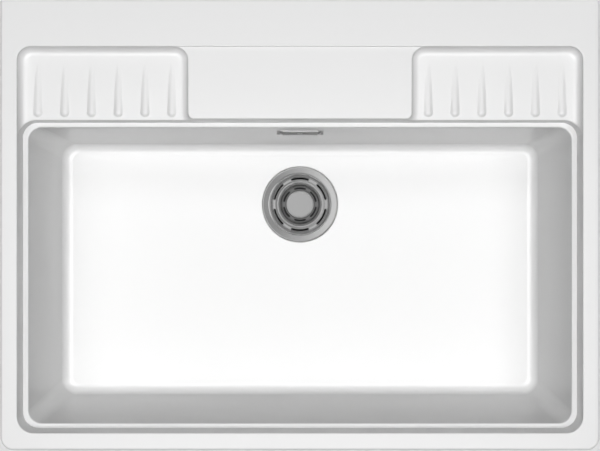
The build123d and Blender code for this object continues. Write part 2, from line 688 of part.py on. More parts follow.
# Clamp screw: its tall head is the post that the strainer's stem slides on.
with BuildPart() as clamp_screw:
    screw_end_z = WASTE_BODY_BOTTOM_Z + WASTE_BODY_WALL
    clamp_head_z = CUP_BOTTOM_Z + CLAMP_HEAD_HEIGHT
    screw_points = [
        (0, screw_end_z),
        (CLAMP_SCREW_RADIUS, screw_end_z),
        (CLAMP_SCREW_RADIUS, CUP_BOTTOM_Z),
        (CLAMP_HEAD_RADIUS, CUP_BOTTOM_Z),
        (CLAMP_HEAD_RADIUS, clamp_head_z),
        (GUIDE_POST_RADIUS, clamp_head_z),
        (GUIDE_POST_RADIUS, GUIDE_POST_TOP_Z - GUIDE_POST_CHAMFER),
        (GUIDE_POST_RADIUS - GUIDE_POST_CHAMFER, GUIDE_POST_TOP_Z),
        (0, GUIDE_POST_TOP_Z),
    ]
    revolve(outline_section(screw_points), axis=drain_axis)
    with BuildSketch(Plane.XY.offset(GUIDE_POST_TOP_Z)):
        with Locations((0, DRAIN_Y)):
            RegularPolygon(HEX_SOCKET_RADIUS, 6)
    extrude(amount=-HEX_SOCKET_DEPTH, mode=Mode.SUBTRACT)
save(clamp_screw, "clamp_screw")

# ---------------------------------------------------------------- strainer

with BuildPart() as strainer_basket:
    channel_z = RIDGE_Z - CHANNEL_DROP
    well_z = BASKET_CENTRE_Z - WELL_DROP
    basket_face = [
        (OUTER_SLOT_RADIUS + 2 * CHANNEL_HALF_WIDTH, channel_z + BASKET_LIP),
        (OUTER_SLOT_RADIUS + CHANNEL_HALF_WIDTH, channel_z),
        (OUTER_SLOT_RADIUS - CHANNEL_HALF_WIDTH, channel_z),
        (RIDGE_RADIUS, RIDGE_Z),
        (INNER_SLOT_RADIUS + SLOT_GAP, well_z),
        (INNER_SLOT_RADIUS - SLOT_GAP, well_z),
        (KNOB_RADIUS + SLOT_GAP / 2, BASKET_CENTRE_Z),
        (GUIDE_POST_RADIUS + REST_GAP, BASKET_CENTRE_Z),
    ]
    basket_bends = [1.5, 1.5, 1.6, 3, 1.5, 1.5]
    revolve(sheet_section(basket_face, basket_bends, BASKET_SHEET), axis=drain_axis)
    above_basket = Plane.XY.offset(RIDGE_Z + below)
    for slot_radius in (OUTER_SLOT_RADIUS, INNER_SLOT_RADIUS):
        slots = slot_ring(
            above_basket, slot_radius, SLOT_GAP, SLOT_ARC, SLOT_COUNT, SLOT_FIRST_ANGLE
        )
        extrude(slots, amount=CUP_BOTTOM_Z - RIDGE_Z, mode=Mode.SUBTRACT)
save(strainer_basket, "strainer_basket")

with BuildPart() as strainer_knob:
    stud_hole_z = BASKET_CENTRE_Z + STUD_HEIGHT + JOINT_GAP
    knob_points = [
        (GUIDE_POST_RADIUS, BASKET_CENTRE_Z),
        (KNOB_BOSS_RADIUS, BASKET_CENTRE_Z),
        (KNOB_BOSS_RADIUS, KNOB_TOP_Z - KNOB_WALL),
        (KNOB_RADIUS - KNOB_WALL, KNOB_TOP_Z - KNOB_WALL),
        (KNOB_RADIUS - KNOB_WALL, BASKET_CENTRE_Z),
        (KNOB_RADIUS, BASKET_CENTRE_Z),
        (KNOB_RADIUS, KNOB_TOP_Z),
        (0, KNOB_TOP_Z),
        (0, stud_hole_z),
        (GUIDE_POST_RADIUS, stud_hole_z),
    ]
    revolve(outline_section(knob_points), axis=drain_axis)
    fillet(strainer_knob.faces().sort_by(Axis.Z)[-1].edges(), KNOB_EDGE_RADIUS)
save(strainer_knob, "strainer_knob")

with BuildPart() as strainer_stem:
    stem_top_z = BASKET_CENTRE_Z - BASKET_SHEET
    stud_radius = GUIDE_POST_RADIUS - RUNNING_GAP
    stem_lip_z = STEM_BOTTOM_Z + STEM_LIP
    stem_points = [
        (STEM_LIP_RADIUS, STEM_BOTTOM_Z),
        (STEM_RADIUS, STEM_BOTTOM_Z),
        (STEM_RADIUS, stem_top_z),
        (stud_radius, stem_top_z),
        (stud_radius, BASKET_CENTRE_Z + STUD_HEIGHT),
        (0, BASKET_CENTRE_Z + STUD_HEIGHT),
        (0, STEM_BORE_TOP_Z),
        (STEM_BORE_RADIUS, STEM_BORE_TOP_Z),
        (STEM_BORE_RADIUS, stem_lip_z),
        (STEM_LIP_RADIUS, stem_lip_z),
    ]
    revolve(outline_section(stem_points), axis=drain_axis)
save(strainer_stem, "strainer_stem")

# Split collet that grips the guide post inside the stem.
with BuildPart() as stem_collet:
    collet_bottom_z = stem_lip_z + JOINT_GAP
    with BuildSketch(Plane.XY.offset(collet_bottom_z)):
        with Locations((0, DRAIN_Y)):
            Circle(STEM_BORE_RADIUS - REST_GAP)
            Circle(GUIDE_POST_RADIUS + RUNNING_GAP, mode=Mode.SUBTRACT)
    extrude(amount=COLLET_HEIGHT)
    with BuildSketch(Plane.XY.offset(collet_bottom_z)):
        with Locations((0, DRAIN_Y)):
            Rectangle(2 * STEM_BORE_RADIUS, COLLET_SLIT)
            Rectangle(COLLET_SLIT, 2 * STEM_BORE_RADIUS)
    extrude(amount=COLLET_HEIGHT * 2 / 3, mode=Mode.SUBTRACT)
save(stem_collet, "stem_collet")

with BuildPart() as plug_disc:
    disc_bottom_z = CUP_BOTTOM_Z + DISC_LIFT
    disc_top_z = disc_bottom_z + DISC_THICKNESS
    disc_edge = PLUG_SEAL_RADIUS - PLUG_SEAL_LIP
    hub_top_z = disc_top_z + 2 * HUB_THICKNESS
    disc_points = [
        (STEM_RADIUS, disc_bottom_z),
        (disc_edge, disc_bottom_z),
        (disc_edge, disc_top_z),
        (STEM_RADIUS + 2 * HUB_THICKNESS, disc_top_z + below),
        (STEM_RADIUS + HUB_THICKNESS, hub_top_z),
        (STEM_RADIUS, hub_top_z),
    ]
    revolve(outline_section(disc_points), axis=drain_axis)
save(plug_disc, "plug_disc")

with BuildPart() as plug_seal:
    seal_bottom_z = CUP_BOTTOM_Z + REST_GAP
    plug_seal_points = [
        (PLUG_SEAL_RADIUS - PLUG_SEAL_WIDTH, seal_bottom_z),
        (PLUG_SEAL_RADIUS - PLUG_SEAL_LIP / 2, seal_bottom_z),
        (PLUG_SEAL_RADIUS, seal_bottom_z + PLUG_SEAL_LIP / 2),
        (PLUG_SEAL_RADIUS, disc_top_z),
        (disc_edge, disc_top_z),
        (disc_edge, disc_bottom_z),
        (PLUG_SEAL_RADIUS - PLUG_SEAL_WIDTH, disc_bottom_z),
    ]
    revolve(outline_section(plug_seal_points), axis=drain_axis)
save(plug_seal, "plug_seal")

# ---------------------------------------------------------------- overflow

slot_centre = (0, SLOT_RISE)
wall_back = WALL_THICKNESS * cos(wall_lean)
body_front = wall_back + OVERFLOW_GASKET


def countersink(radius):
    """Two sections of the cone that a countersunk head of this radius fills in the hood."""
    with BuildSketch(rear_wall.offset(HOOD_PROUD)) as face_circle:
        with Locations(slot_centre):
            Circle(radius)
    with BuildSketch(rear_wall.offset(HOOD_PROUD - COVER_SHEET)) as shank_circle:
        with Locations(slot_centre):
            Circle(radius - SCREW_HEAD_FLARE)
    return [face_circle.sketch, shank_circle.sketch]


# Cover: a pressed steel plate with a raised hood whose open ends let the water in.
with BuildPart() as overflow_cover:
    with BuildSketch(rear_wall.offset(-NICHE_DEPTH)):
        with Locations(slot_centre):
            Rectangle(HOOD_WIDTH, HOOD_HEIGHT)
    extrude(amount=NICHE_DEPTH + HOOD_PROUD)
    hood_front = overflow_cover.faces().sort_by(Axis(rear_wall.origin, rear_wall.z_dir))[-1]
    fillet(hood_front.edges().filter_by(Axis.X), HOOD_BEND_RADIUS)
    with BuildSketch(rear_wall.offset(-NICHE_DEPTH)):
        RectangleRounded(COVER_WIDTH, COVER_HEIGHT, COVER_CORNER_RADIUS)
    extrude(amount=COVER_SHEET)
    hood_space_height = HOOD_HEIGHT - 2 * COVER_SHEET
    with BuildSketch(rear_wall.offset(-NICHE_DEPTH - below)):
        with Locations(slot_centre):
            Rectangle(COVER_HOLE_WIDTH, hood_space_height)
    extrude(amount=NICHE_DEPTH + below + HOOD_PROUD - COVER_SHEET, mode=Mode.SUBTRACT)
    loft(countersink(SCREW_HEAD_RADIUS + JOINT_GAP), ruled=True, mode=Mode.SUBTRACT)
save(overflow_cover, "overflow_cover")

with BuildPart() as overflow_screw:
    loft(countersink(SCREW_HEAD_RADIUS), ruled=True)
    shank_start = HOOD_PROUD - COVER_SHEET
    with BuildSketch(rear_wall.offset(shank_start)):
        with Locations(slot_centre):
            Circle(COVER_SCREW_RADIUS)
    extrude(amount=-shank_start - body_front - COVER_SCREW_LENGTH)
    with BuildSketch(rear_wall.offset(HOOD_PROUD)):
        with Locations(slot_centre):
            Rectangle(SCREW_CROSS_LENGTH, SCREW_CROSS_WIDTH)
            Rectangle(SCREW_CROSS_WIDTH, SCREW_CROSS_LENGTH)
    extrude(amount=-SCREW_CROSS_WIDTH, mode=Mode.SUBTRACT)
save(overflow_screw, "overflow_screw")

with BuildPart() as overflow_gasket:
    with BuildSketch(rear_wall.offset(-wall_back)):
        with Locations(slot_centre):
            RectangleRounded(
                OVERFLOW_FLANGE_WIDTH - 2 * below,
                OVERFLOW_FLANGE_HEIGHT - 2 * below,
                OVERFLOW_FLANGE_CORNER,
            )
            RectangleRounded(
                OVERFLOW_BODY_WIDTH - 2 * OVERFLOW_BODY_WALL,
                OVERFLOW_BODY_HEIGHT - 2 * OVERFLOW_BODY_WALL,
                SLOT_CORNER_RADIUS,
                mode=Mode.SUBTRACT,
            )
    extrude(amount=-OVERFLOW_GASKET)
save(overflow_gasket, "overflow_gasket")

# Plastic box behind the wall that gathers the water and turns it down into the pipe.
with BuildPart() as overflow_body:
    with BuildSketch(rear_wall.offset(-body_front)):
        with Locations(slot_centre):
            RectangleRounded(
                OVERFLOW_FLANGE_WIDTH, OVERFLOW_FLANGE_HEIGHT, OVERFLOW_FLANGE_CORNER
            )
    extrude(amount=-OVERFLOW_FLANGE_THICKNESS)
    with BuildSketch(rear_wall.offset(-body_front)):
        with Locations(slot_centre):
            RectangleRounded(OVERFLOW_BODY_WIDTH, OVERFLOW_BODY_HEIGHT, OVERFLOW_BODY_CORNER)
    extrude(amount=-OVERFLOW_BODY_DEPTH)
    with BuildSketch(Plane.XY.offset(UPPER_PORT_Z)):
        with Locations((0, PIPE_Y)):
            Circle(PORT_RADIUS)
    extrude(amount=SPIGOT_HEIGHT)
    with BuildSketch(rear_wall.offset(-body_front + below)):
        with Locations(slot_centre):
            RectangleRounded(
                OVERFLOW_BODY_WIDTH - 2 * OVERFLOW_BODY_WALL,
                OVERFLOW_BODY_HEIGHT - 2 * OVERFLOW_BODY_WALL,
                OVERFLOW_BODY_CORNER - OVERFLOW_BODY_WALL,
            )
    extrude(amount=-OVERFLOW_BODY_DEPTH - below + OVERFLOW_BODY_WALL, mode=Mode.SUBTRACT)
    with BuildSketch(Plane.XY.offset(UPPER_PORT_Z - below)):
        with Locations((0, PIPE_Y)):
            Circle(PORT_BORE_RADIUS)
    extrude(amount=SPIGOT_HEIGHT + 2 * below, mode=Mode.SUBTRACT)
    with BuildSketch(Plane.XY.offset(UPPER_PORT_Z - below)):
        with Locations((0, PIPE_Y)):
            Circle(SOCKET_RADIUS)
    extrude(amount=SOCKET_DEPTH + below, mode=Mode.SUBTRACT)
    # Boss for the cover's screw.
    with BuildSketch(rear_wall.offset(-body_front)):
        with Locations(slot_centre):
            Circle(OVERFLOW_BOSS_RADIUS)
    extrude(amount=-OVERFLOW_BODY_DEPTH + below)
    with BuildSketch(rear_wall.offset(-body_front + below)):
        with Locations(slot_centre):
            Circle(OVERFLOW_INSERT_RADIUS)
    extrude(amount=-OVERFLOW_INSERT_HEIGHT - below, mode=Mode.SUBTRACT)
    with BuildSketch(rear_wall.offset(-body_front)):
        with Locations(slot_centre):
            Circle(COVER_SCREW_HOLE_RADIUS)
    extrude(amount=-COVER_SCREW_LENGTH - below, mode=Mode.SUBTRACT)
save(overflow_body, "overflow_body")

with BuildPart() as overflow_insert:
    with BuildSketch(rear_wall.offset(-body_front)):
        with Locations(slot_centre):
            Circle(OVERFLOW_INSERT_RADIUS)
            Circle(COVER_SCREW_RADIUS + RUNNING_GAP, mode=Mode.SUBTRACT)
    extrude(amount=-OVERFLOW_INSERT_HEIGHT)
save(overflow_insert, "overflow_insert")

# Pipe from the overflow body down behind the bowl and forward under it.
with BuildPart() as overflow_pipe:
    pipe_top_z = UPPER_PORT_Z + SOCKET_DEPTH - SOCKET_END_GAP
    pipe_end_y = LOWER_PORT_Y - SOCKET_DEPTH + SOCKET_END_GAP
    with BuildLine(Plane.YZ) as pipe_route:
        FilletPolyline(
            (PIPE_Y, pipe_top_z),
            (PIPE_Y, LOWER_PORT_Z),
            (pipe_end_y, LOWER_PORT_Z),
            radius=PIPE_BEND_RADIUS,
        )
    with BuildSketch(Plane(origin=(0, PIPE_Y, pipe_top_z), z_dir=(0, 0, -1))):
        Circle(PIPE_RADIUS)
        Circle(PIPE_RADIUS - PIPE_WALL, mode=Mode.SUBTRACT)
    sweep(path=pipe_route.line)
save(overflow_pipe, "overflow_pipe")

upper_joint = Plane(
    origin=(0, PIPE_Y, UPPER_PORT_Z - WASHER_HEIGHT - UNION_NUT_WALL), z_dir=(0, 0, 1)
)
lower_joint = Plane(
    origin=(0, LOWER_PORT_Y + WASHER_HEIGHT + UNION_NUT_WALL, LOWER_PORT_Z), z_dir=(0, -1, 0)
)
for where, joint_plane in (("upper", upper_joint), ("lower", lower_joint)):
    with BuildPart() as union_nut:
        with BuildSketch(joint_plane):
            Circle(UNION_NUT_RADIUS)
            with PolarLocations(UNION_NUT_RADIUS, UNION_NUT_GRIPS):
                Circle(UNION_NUT_GRIP_RADIUS)
        extrude(amount=UNION_NUT_HEIGHT)
        with BuildSketch(joint_plane):
            Circle(PIPE_RADIUS + UNION_NUT_HOLE_GAP)
        extrude(amount=UNION_NUT_HEIGHT, mode=Mode.SUBTRACT)
        with BuildSketch(joint_plane.offset(UNION_NUT_WALL)):
            Circle(PORT_RADIUS + RUNNING_GAP)
        extrude(amount=UNION_NUT_HEIGHT, mode=Mode.SUBTRACT)
    save(union_nut, f"{where}_union_nut")
    with BuildPart() as cone_washer:
        with BuildSketch(joint_plane.offset(UNION_NUT_WALL)):
            Circle(PORT_RADIUS - WASHER_GAP)
            Circle(PIPE_RADIUS + RUNNING_GAP, mode=Mode.SUBTRACT)
        extrude(amount=WASHER_HEIGHT)
    save(cone_washer, f"{where}_cone_washer")
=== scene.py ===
"""The looks of a fireclay kitchen sink: its glaze, pressed steel, plastic, brass and rubber, the
threads cut on its plumbing, and a plain studio round it. Metres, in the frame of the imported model.
"""

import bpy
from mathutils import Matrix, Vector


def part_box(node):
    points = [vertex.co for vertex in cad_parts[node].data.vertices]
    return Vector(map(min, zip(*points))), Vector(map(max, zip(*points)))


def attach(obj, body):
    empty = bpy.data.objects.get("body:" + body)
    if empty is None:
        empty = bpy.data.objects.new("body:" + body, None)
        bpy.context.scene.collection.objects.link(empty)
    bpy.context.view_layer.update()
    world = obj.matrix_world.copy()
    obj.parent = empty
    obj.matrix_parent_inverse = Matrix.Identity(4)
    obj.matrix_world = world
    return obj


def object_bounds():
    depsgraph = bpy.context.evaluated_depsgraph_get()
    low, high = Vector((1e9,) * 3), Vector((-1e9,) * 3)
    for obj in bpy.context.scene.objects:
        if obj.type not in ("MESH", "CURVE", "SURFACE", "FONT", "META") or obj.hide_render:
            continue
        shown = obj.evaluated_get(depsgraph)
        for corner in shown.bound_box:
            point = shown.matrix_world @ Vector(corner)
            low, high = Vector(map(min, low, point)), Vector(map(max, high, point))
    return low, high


bl_info = {
    "name": "Fireclay Kitchen Sink",
    "version": (1, 0, 0),
    "blender": (4, 5, 0),
    "location": "View3D > Sidebar > Sink",
    "description": "Finishes and fine pieces of a fireclay kitchen sink with draining recesses",
    "category": "Object",
}

from math import pi

import bpy
from mathutils import Matrix, Vector

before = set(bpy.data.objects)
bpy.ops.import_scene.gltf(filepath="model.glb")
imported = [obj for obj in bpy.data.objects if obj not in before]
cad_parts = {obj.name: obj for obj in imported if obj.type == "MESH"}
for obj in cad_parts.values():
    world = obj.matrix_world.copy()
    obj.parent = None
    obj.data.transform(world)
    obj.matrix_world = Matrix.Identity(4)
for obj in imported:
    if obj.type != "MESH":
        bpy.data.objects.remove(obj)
cad_low, cad_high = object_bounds()

SINK_LOW, SINK_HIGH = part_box("sink_body")
FLANGE_LOW, FLANGE_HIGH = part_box("waste_flange")
COVER_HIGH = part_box("overflow_cover")[1]
BODY_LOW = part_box("waste_body")[0]
PIPE_LOW, PIPE_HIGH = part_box("overflow_pipe")
DRAIN_CENTRE = (FLANGE_LOW + FLANGE_HIGH) / 2
RIM_Z = SINK_HIGH.z

# The casting: its outer corners, where its bowl's floor and walls lie, and how deep glaze reaches.
SKIRT_CORNER = 0.0175
FLOOR_Z = 0.026
WALL_FOOT_X, WALL_LEAN_X = 0.3628, 0.0905
FRONT_FOOT_Y, FRONT_LEAN = -0.2625, -0.0911
REAR_FOOT_Y, REAR_LEAN = 0.1268, 0.0960
UNDERSIDE_Z = 0.017
BELOW_FLOOR_Z = 0.024
BELOW_FLOOR_REACH = 0.02
WALL_TOP_Z = 0.165
DECK_UNDERSIDE_Z = 0.1995
FOOT_Z = 0.004
GLAZED_SKIN = 0.0015
EDGE_WOBBLE = 0.006

# The photograph: straight down, its optical axis a little above the middle of the picture.
PICTURE_WIDTH_PX = 600
PICTURE_HEIGHT_PX = 451
AXIS_PX = (300.0, 204.6)
AXIS_Y = 0.0281
CAMERA_ABOVE_RIM = 1.454
SENSOR_MM = 36.0

# Lamps that light the surfaces: name, place (height over the rim), side, share of the lamp power.
LAMPS = (
    ("overhead_lamp", (0.0, -0.35, 5.0), 1.0, 1.0),
    ("rear_lamp", (0.0, 2.5, 4.5), 1.0, 0.22),
    ("left_lamp", (-2.0, -0.35, 4.5), 1.0, 0.158),
    ("right_lamp", (2.0, -0.35, 4.5), 1.0, 0.228),
)

# Pale panels over the sink that only the glaze mirrors: name, sides, share of the panel power.
PANEL_PLACE = (0.0, -0.225, 1.8)
PANELS = (
    ("wide_panel", (3.2, 2.4), 1.0),
    ("near_panel", (1.6, 1.05), 0.56),
)

# What polished steel mirrors across the room, from its left to its bright right: place, grey.
MIRRORED_ROOM = (
    (0.0, 0.25),
    (0.125, 0.45),
    (0.26, 0.85),
    (0.38, 0.72),
    (0.50, 0.60),
    (0.65, 0.38),
    (0.74, 0.33),
    (0.80, 0.62),
    (0.87, 1.0),
)

# Finishes: roughness of bare clay, the cup's rougher inside with its colour darkened as painted
# shade, and the painted highlight along the top of the hood.
CLAY_ROUGHNESS = 0.82
POLISH_LOW_Z, DULL_SHADED_HIGH_Z, CUP_SHADE_SHARE = 0.013, 0.008, 0.35
# Painted highlight: the band below the hood's top that is coloured bright.
HIGHLIGHT_FROM, HIGHLIGHT_TO = 0.0012, 0.0005

# Threads: the crest stands a little proud of the plain cylinder, and the flanks fall to it.
THREAD_PITCH = 0.00231
THREAD_RISE = 0.0006
THREAD_ROOT = 0.0002
THREAD_FOOT_SHARE = 0.8
THREAD_CREST_SHARE = 0.3
THREAD_STEPS = 40
TAIL_RADIUS, TAIL_LENGTH, TAIL_START = 0.0239, 0.0235, 0.0012
PORT_RADIUS = 0.0155
UPPER_PORT_Z, UPPER_PORT_LENGTH = 0.1221, 0.0045
LOWER_PORT_Y, LOWER_PORT_LENGTH = 0.0944, 0.0095
PIPE_RADIUS = 0.0125


# ---------------------------------------------------------------- settings


class SinkFinishSettings(bpy.types.PropertyGroup):
    """Colours and roughness of the materials."""

    glaze_colour: bpy.props.FloatVectorProperty(
        name="Glaze",
        description="Colour of the white glaze",
        subtype="COLOR",
        size=3,
        min=0.0,
        max=1.0,
        default=(0.70, 0.70, 0.70),
    )
    bisque_colour: bpy.props.FloatVectorProperty(
        name="Bare clay",
        description="Colour of the unglazed clay inside the skirts",
        subtype="COLOR",
        size=3,
        min=0.0,
        max=1.0,
        default=(0.58, 0.53, 0.46),
    )
    glaze_roughness: bpy.props.FloatProperty(
        name="Glaze roughness",
        description="Roughness of the glaze",
        subtype="FACTOR",
        min=0.0,
        max=1.0,
        default=0.22,
    )
    glaze_gloss: bpy.props.FloatProperty(
        name="Glaze gloss",
        description="Strength of the reflections on the glaze",
        subtype="FACTOR",
        min=0.0,
        max=1.0,
        default=0.15,
    )
    steel_colour: bpy.props.FloatVectorProperty(
        name="Steel",
        description="Colour of the pressed stainless steel",
        subtype="COLOR",
        size=3,
        min=0.0,
        max=1.0,
        default=(0.70, 0.70, 0.70),
    )
    steel_roughness: bpy.props.FloatProperty(
        name="Steel roughness",
        description="Roughness of the pressed stainless steel",
        subtype="FACTOR",
        min=0.0,
        max=1.0,
        default=0.16,
    )
    cover_colour: bpy.props.FloatVectorProperty(
        name="Overflow cover",
        description="Colour of the dull steel of the overflow's cover",
        subtype="COLOR",
        size=3,
        min=0.0,
        max=1.0,
        default=(0.30, 0.30, 0.30),
    )


class SinkStageSettings(bpy.types.PropertyGroup):
    """Light, floor and camera."""

    lamp_power: bpy.props.FloatProperty(
        name="Lamp power",
        description="Power of the lamp high above the bowl",
        subtype="POWER",
        min=0.0,
        default=157.0,
    )
    panel_power: bpy.props.FloatProperty(
        name="Panel power",
        description="Power of the wide panel that the glaze mirrors",
        subtype="POWER",
        min=0.0,
        default=149.0,
    )
    room_light: bpy.props.FloatProperty(
        name="Room light",
        description="Strength of the even light from all round",
        min=0.0,
        default=0.03,
    )
    floor_gap: bpy.props.FloatProperty(
        name="Floor gap",
        description="Room between the lowest piece and the floor",
        subtype="DISTANCE",
        unit="LENGTH",
        min=0.0,
        default=0.002,
    )


# ---------------------------------------------------------------- node helpers


def add_node(tree, kind, **inputs):
    """A node of the tree; inputs are given by socket name, with _ for a space."""
    node = tree.nodes.new(kind)
    for name, value in inputs.items():
        socket = node.inputs[name.replace("_", " ")]
        if isinstance(value, bpy.types.NodeSocket):
            tree.links.new(value, socket)
        else:
            socket.default_value = value
    return node


def maths(tree, operation, first, second=0.0, third=0.0, clamp=False):
    """One Math node and its output."""
    node = tree.nodes.new("ShaderNodeMath")
    node.operation = operation
    node.use_clamp = clamp
    for socket, value in zip(node.inputs, (first, second, third)):
        if isinstance(value, bpy.types.NodeSocket):
            tree.links.new(value, socket)
        else:
            socket.default_value = value
    return node.outputs[0]


def blend_colours(tree, factor, first, second):
    """A colour Mix node and its output."""
    node = tree.nodes.new("ShaderNodeMix")
    node.data_type = "RGBA"
    factor_socket, first_socket, second_socket = node.inputs[0], node.inputs[6], node.inputs[7]
    given = ((factor_socket, factor), (first_socket, first), (second_socket, second))
    for socket, value in given:
        if isinstance(value, bpy.types.NodeSocket):
            tree.links.new(value, socket)
        else:
            socket.default_value = (*value, 1.0) if hasattr(value, "__len__") else value
    return node.outputs[2]


def ease(tree, value, start, end, to_start=0.0, to_end=1.0):
    """A smooth step of a value from one level to another."""
    node = tree.nodes.new("ShaderNodeMapRange")
    node.interpolation_type = "SMOOTHSTEP"
    tree.links.new(value, node.inputs["Value"])
    levels = (("From Min", start), ("From Max", end), ("To Min", to_start), ("To Max", to_end))
    for socket_name, level in levels:
        node.inputs[socket_name].default_value = level
    return node.outputs["Result"]


def new_group(name, inputs, outputs):
    """An empty shader group with named sockets: the tree, its input node and its output node."""
    tree = bpy.data.node_groups.new(name, "ShaderNodeTree")
    for socket_name, kind, value in inputs:
        socket = tree.interface.new_socket(socket_name, in_out="INPUT", socket_type=kind)
        if value is not None:
            socket.default_value = value
    for socket_name, kind in outputs:
        tree.interface.new_socket(socket_name, in_out="OUTPUT", socket_type=kind)
    return tree, tree.nodes.new("NodeGroupInput"), tree.nodes.new("NodeGroupOutput")


def use_group(tree, name, **inputs):
    """A node that holds one of the shared groups."""
    node = tree.nodes.new("ShaderNodeGroup")
    node.node_tree = bpy.data.node_groups[name]
    for socket_name, value in inputs.items():
        socket = node.inputs[socket_name.replace("_", " ")]
        if isinstance(value, bpy.types.NodeSocket):
            tree.links.new(value, socket)
        else:
            socket.default_value = value
    return node


def new_material(name, colour, roughness, metallic=0.0):
    """A material with one Principled shader: material, tree, shader and Object coordinates."""
    material = bpy.data.materials.new(name)
    material.use_nodes = True
    material.diffuse_color = (*colour, 1.0)
    tree = material.node_tree
    shader = tree.nodes["Principled BSDF"]
    shader.inputs["Base Color"].default_value = (*colour, 1.0)
    shader.inputs["Roughness"].default_value = roughness
    shader.inputs["Metallic"].default_value = metallic
    place = tree.nodes.new("ShaderNodeTexCoord").outputs["Object"]
    return material, tree, shader, place


def bump(tree, shader, height, distance, strength=1.0):
    """Roughens the shader's normal by a height field; distance is in metres."""
    node = tree.nodes.new("ShaderNodeBump")
    node.inputs["Strength"].default_value = strength
    node.inputs["Distance"].default_value = distance
    tree.links.new(height, node.inputs["Height"])
    tree.links.new(node.outputs["Normal"], shader.inputs["Normal"])


# ---------------------------------------------------------------- shared groups


def build_waviness_group():
    """Slow swell with fine orange peel on top, as a fired glaze or a moulding has."""
    tree, given, result = new_group(
        "surface_waviness",
        [
            ("Place", "NodeSocketVector", None),
            ("Swell Scale", "NodeSocketFloat", 12.0),
            ("Peel Scale", "NodeSocketFloat", 260.0),
            ("Peel Share", "NodeSocketFloat", 0.15),
        ],
        [("Height", "NodeSocketFloat"), ("Cloud", "NodeSocketFloat")],
    )
    swell = add_node(tree, "ShaderNodeTexNoise", Vector=given.outputs["Place"])
    tree.links.new(given.outputs["Swell Scale"], swell.inputs["Scale"])
    swell.inputs["Detail"].default_value = 2.0
    peel = add_node(tree, "ShaderNodeTexNoise", Vector=given.outputs["Place"])
    tree.links.new(given.outputs["Peel Scale"], peel.inputs["Scale"])
    peel.inputs["Detail"].default_value = 3.0
    fine = maths(tree, "MULTIPLY", peel.outputs[0], given.outputs["Peel Share"])
    tree.links.new(maths(tree, "ADD", swell.outputs[0], fine), result.inputs["Height"])
    tree.links.new(swell.outputs[0], result.inputs["Cloud"])


def build_turned_group():
    """Fine rings round the waste's axis, as polishing on a lathe leaves."""
    tree, given, result = new_group(
        "turned_rings",
        [
            ("Place", "NodeSocketVector", None),
            ("Rings Per Metre", "NodeSocketFloat", 900.0),
        ],
        [("Streak", "NodeSocketFloat"), ("Radius", "NodeSocketFloat")],
    )
    centred = add_node(tree, "ShaderNodeMapping", Vector=given.outputs["Place"])
    centred.inputs["Location"].default_value = (-DRAIN_CENTRE.x, -DRAIN_CENTRE.y, 0.0)
    parts = add_node(tree, "ShaderNodeSeparateXYZ", Vector=centred.outputs[0])
    across = maths(tree, "MULTIPLY", parts.outputs["X"], parts.outputs["X"])
    across = maths(tree, "MULTIPLY_ADD", parts.outputs["Y"], parts.outputs["Y"], across)
    radius = maths(tree, "SQRT", across)
    along = maths(tree, "ADD", radius, parts.outputs["Z"])
    rings = tree.nodes.new("ShaderNodeTexNoise")
    rings.noise_dimensions = "1D"
    rings.inputs["Detail"].default_value = 4.0
    rings.inputs["Scale"].default_value = 1.0
    ring = maths(tree, "MULTIPLY", along, given.outputs["Rings Per Metre"])
    tree.links.new(ring, rings.inputs["W"])
    tree.links.new(rings.outputs[0], result.inputs["Streak"])
    tree.links.new(radius, result.inputs["Radius"])


